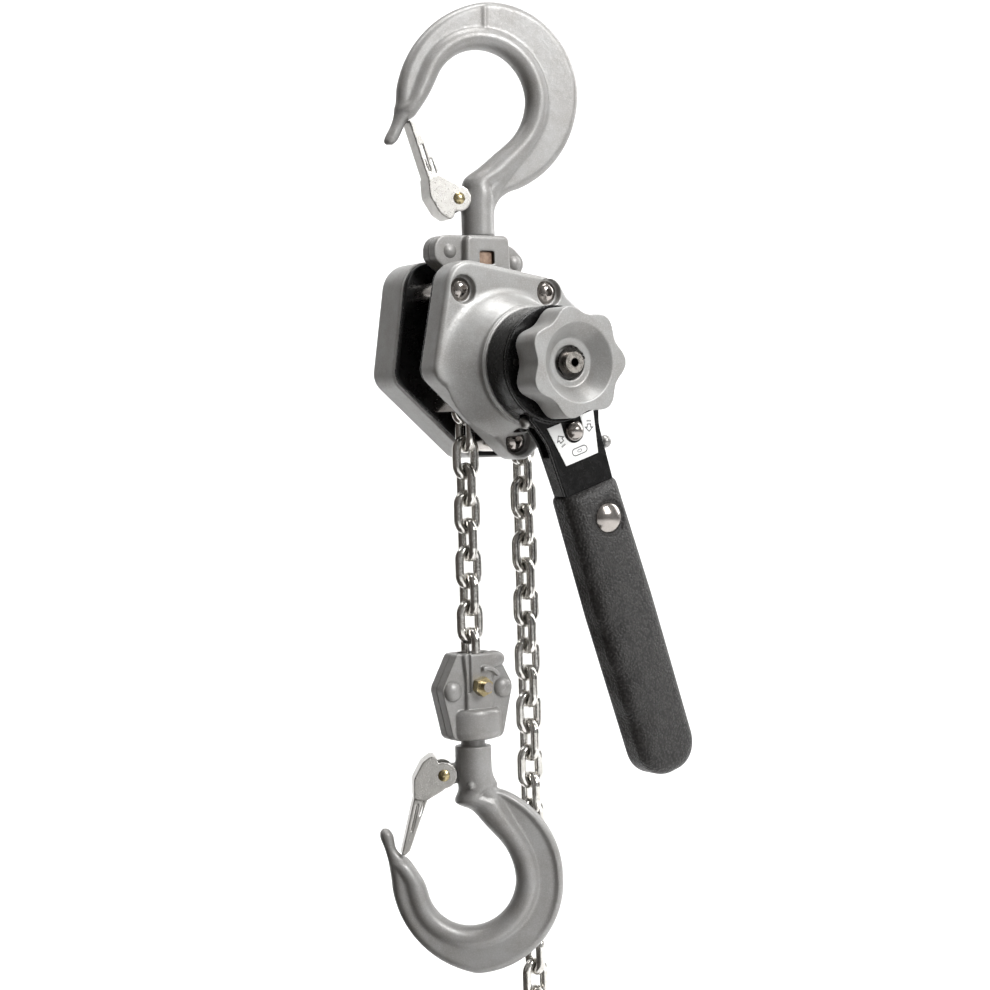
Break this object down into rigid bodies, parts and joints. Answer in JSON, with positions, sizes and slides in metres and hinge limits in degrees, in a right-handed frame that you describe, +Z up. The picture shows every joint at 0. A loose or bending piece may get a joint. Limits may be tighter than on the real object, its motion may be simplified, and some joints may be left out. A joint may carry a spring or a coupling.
{
  "type": "lever chain hoist",
  "caption": "Hand lever chain hoist: swivelling latched hooks, cast covers over ratchet brake and gears, ratchet lever with selector, hand wheel and steel load chain.",
  "frame": {"origin": "the middle of the top hook saddle, where the hook bears on whatever the hoist hangs from", "axes": "+Z up along the load line, sheave and lever turn about Y with the hand wheel towards -Y, load side of the chain towards -X"},
  "size_m": [0.1232, 0.101, 0.494],
  "materials": {
    "hook_paint": "silver-grey paint over a drop forging, satin",
    "cast_silver": "silver-grey paint over a casting, satin",
    "cover_paint": "light silver-grey powder coat on cast aluminium, satin",
    "frame_black": "black enamel on pressed plate, semi-gloss",
    "lever_black": "black enamel on pressed steel, glossy",
    "grip_rubber": "moulded black-grey rubber, fine leather texture",
    "chain_nickel": "bright nickel-plated welded chain",
    "latch_steel": "bright plated pressed steel",
    "zinc_yellow": "yellow zinc plating",
    "dark_steel": "dark polished steel",
    "ground_steel": "ground steel, lightly oiled",
    "gear_steel": "machined and hardened steel",
    "spring_steel": "drawn spring wire",
    "brown_steel": "phosphated steel, brownish",
    "friction_lining": "moulded friction lining, matt",
    "knob_steel": "grey plated steel",
    "label_white": "printed white plate, satin",
    "ring_black": "blackened spring steel"
  },
  "bodies": {
    "top_hook": {"top_hook": "hook_paint", "top_swivel_nut": "brown_steel", "top_latch_pin": "zinc_yellow", "top_latch_spring": "spring_steel"},
    "top_latch": {"top_latch": "latch_steel"},
    "housing": {"yoke_front": "cast_silver", "yoke_rear": "cast_silver", "yoke_rivets": "cast_silver", "suspension_pins": "dark_steel", "front_frame_plate": "frame_black", "rear_frame_plate": "frame_black", "stay_rods": "ground_steel", "front_screws": "dark_steel", "rear_screws": "dark_steel", "brake_cover": "cover_paint", "gear_cover": "cover_paint", "sheave_bearings": "ground_steel", "chain_stripper": "ground_steel", "chain_guides": "ground_steel", "pawl_pins": "ground_steel", "pawl_springs": "spring_steel"},
    "load_strand": {"load_chain": "chain_nickel"},
    "hook_block": {"block_front": "cast_silver", "block_rear": "cast_silver", "block_rivets": "cast_silver", "anchor_bolt": "dark_steel", "anchor_nut": "zinc_yellow"},
    "bottom_hook": {"bottom_hook": "hook_paint", "bottom_swivel_nut": "brown_steel", "bottom_latch_pin": "zinc_yellow", "bottom_latch_spring": "spring_steel"},
    "bottom_latch": {"bottom_latch": "latch_steel"},
    "free_strand": {"idle_chain": "chain_nickel", "chain_end_ring": "chain_nickel"},
    "sheave": {"load_sheave": "ground_steel", "load_gear": "gear_steel", "sheave_chain": "chain_nickel"},
    "gear_left": {"compound_gear_left": "gear_steel"},
    "gear_right": {"compound_gear_right": "gear_steel"},
    "drive": {"drive_shaft": "ground_steel", "friction_hub": "gear_steel", "friction_disc_rear": "friction_lining", "friction_disc_front": "friction_lining", "change_gear": "gear_steel", "handwheel_spring": "spring_steel", "snap_ring": "ring_black"},
    "handwheel": {"handwheel": "cover_paint"},
    "ratchet": {"ratchet_disc": "gear_steel"},
    "pawl_upper": {"brake_pawl_upper": "gear_steel"},
    "pawl_lower": {"brake_pawl_lower": "gear_steel"},
    "lever": {"lever_housing": "lever_black", "lever_cover": "lever_black", "lever_rivets": "dark_steel", "selector_pin": "dark_steel", "label_plate": "label_white", "grip": "grip_rubber", "grip_rivet": "dark_steel"},
    "selector": {"selector": "knob_steel"}
  },
  "joints": [
    {"name": "top_hook_swivel", "type": "hinge", "parent": "top_hook", "child": "housing", "pos_m": [-0.00314, 0.0006, -0.0897], "axis": [0, 0, 1], "continuous": true},
    {"name": "top_latch_hinge", "type": "hinge", "parent": "top_hook", "child": "top_latch", "pos_m": [-0.01356, 0.00259, -0.0656], "axis": [0.1874, 0.9823, 0], "range_deg": [0, 40], "stiffness_Nm_per_rad": 0.02, "springref_deg": -57.3},
    {"name": "hook_travel", "type": "slide", "parent": "housing", "child": "load_strand", "axis": [0, 0, 1], "range_m": [-0.024, 0.024]},
    {"name": "block_swing", "type": "hinge", "parent": "load_strand", "child": "hook_block", "pos_m": [-0.01264, 0.0006, -0.2781], "axis": [0, 1, 0], "range_deg": [0, 8]},
    {"name": "bottom_hook_swivel", "type": "hinge", "parent": "hook_block", "child": "bottom_hook", "pos_m": [-0.01264, 0.0006, -0.2947], "axis": [0, 0, 1], "range_deg": [-115, 0]},
    {"name": "bottom_latch_hinge", "type": "hinge", "parent": "bottom_hook", "child": "bottom_latch", "pos_m": [-0.02506, 0.00639, -0.3167], "axis": [-0.4226, -0.9063, 0], "range_deg": [0, 40], "stiffness_Nm_per_rad": 0.02, "springref_deg": -57.3},
    {"name": "free_strand_travel", "type": "slide", "parent": "housing", "child": "free_strand", "axis": [0, 0, 1], "range_m": [-0.0241, 0.0241]},
    {"name": "sheave_turn", "type": "hinge", "parent": "housing", "child": "sheave", "pos_m": [0.00206, 0.0006, -0.1397], "axis": [0, 1, 0], "range_deg": [-90.5, 90.5]},
    {"name": "left_gear_turn", "type": "hinge", "parent": "housing", "child": "gear_left", "pos_m": [-0.01494, 0.0236, -0.1397], "axis": [0, 1, 0], "range_deg": [-190, 190]},
    {"name": "right_gear_turn", "type": "hinge", "parent": "housing", "child": "gear_right", "pos_m": [0.01906, 0.0236, -0.1397], "axis": [0, 1, 0], "range_deg": [-190, 190]},
    {"name": "drive_turn", "type": "hinge", "parent": "housing", "child": "drive", "pos_m": [0.00206, 0.0006, -0.1397], "axis": [0, 1, 0], "range_deg": [-455, 455]},
    {"name": "handwheel_pull", "type": "slide", "parent": "drive", "child": "handwheel", "axis": [0, -1, 0], "range_m": [0, 0.003]},
    {"name": "ratchet_turn", "type": "hinge", "parent": "housing", "child": "ratchet", "pos_m": [0.00206, 0.0006, -0.1397], "axis": [0, 1, 0], "continuous": true},
    {"name": "upper_pawl_lift", "type": "hinge", "parent": "housing", "child": "pawl_upper", "pos_m": [-0.00394, -0.0184, -0.1117], "axis": [0, 1, 0], "range_deg": [0, 12], "stiffness_Nm_per_rad": 0.002, "springref_deg": -34.38},
    {"name": "lower_pawl_lift", "type": "hinge", "parent": "housing", "child": "pawl_lower", "pos_m": [-0.02494, -0.0184, -0.1457], "axis": [0, 1, 0], "range_deg": [0, 12], "stiffness_Nm_per_rad": 0.002, "springref_deg": -34.38},
    {"name": "lever_swing", "type": "hinge", "parent": "housing", "child": "lever", "pos_m": [0.00206, 0.0006, -0.1397], "axis": [0, 1, 0], "continuous": true},
    {"name": "selector_turn", "type": "hinge", "parent": "lever", "child": "selector", "pos_m": [0.01123, -0.04315, -0.16795], "axis": [0, 1, 0], "range_deg": [-40, 0]}
  ],
  "couplings": [
    {"joint": "free_strand_travel", "follows": "hook_travel", "ratio": -1},
    {"joint": "sheave_turn", "follows": "hook_travel", "rad_per_m": 65.45},
    {"joint": "left_gear_turn", "follows": "hook_travel", "rad_per_m": -136.85},
    {"joint": "right_gear_turn", "follows": "hook_travel", "rad_per_m": -136.85},
    {"joint": "drive_turn", "follows": "hook_travel", "rad_per_m": 328.44}
  ]
}
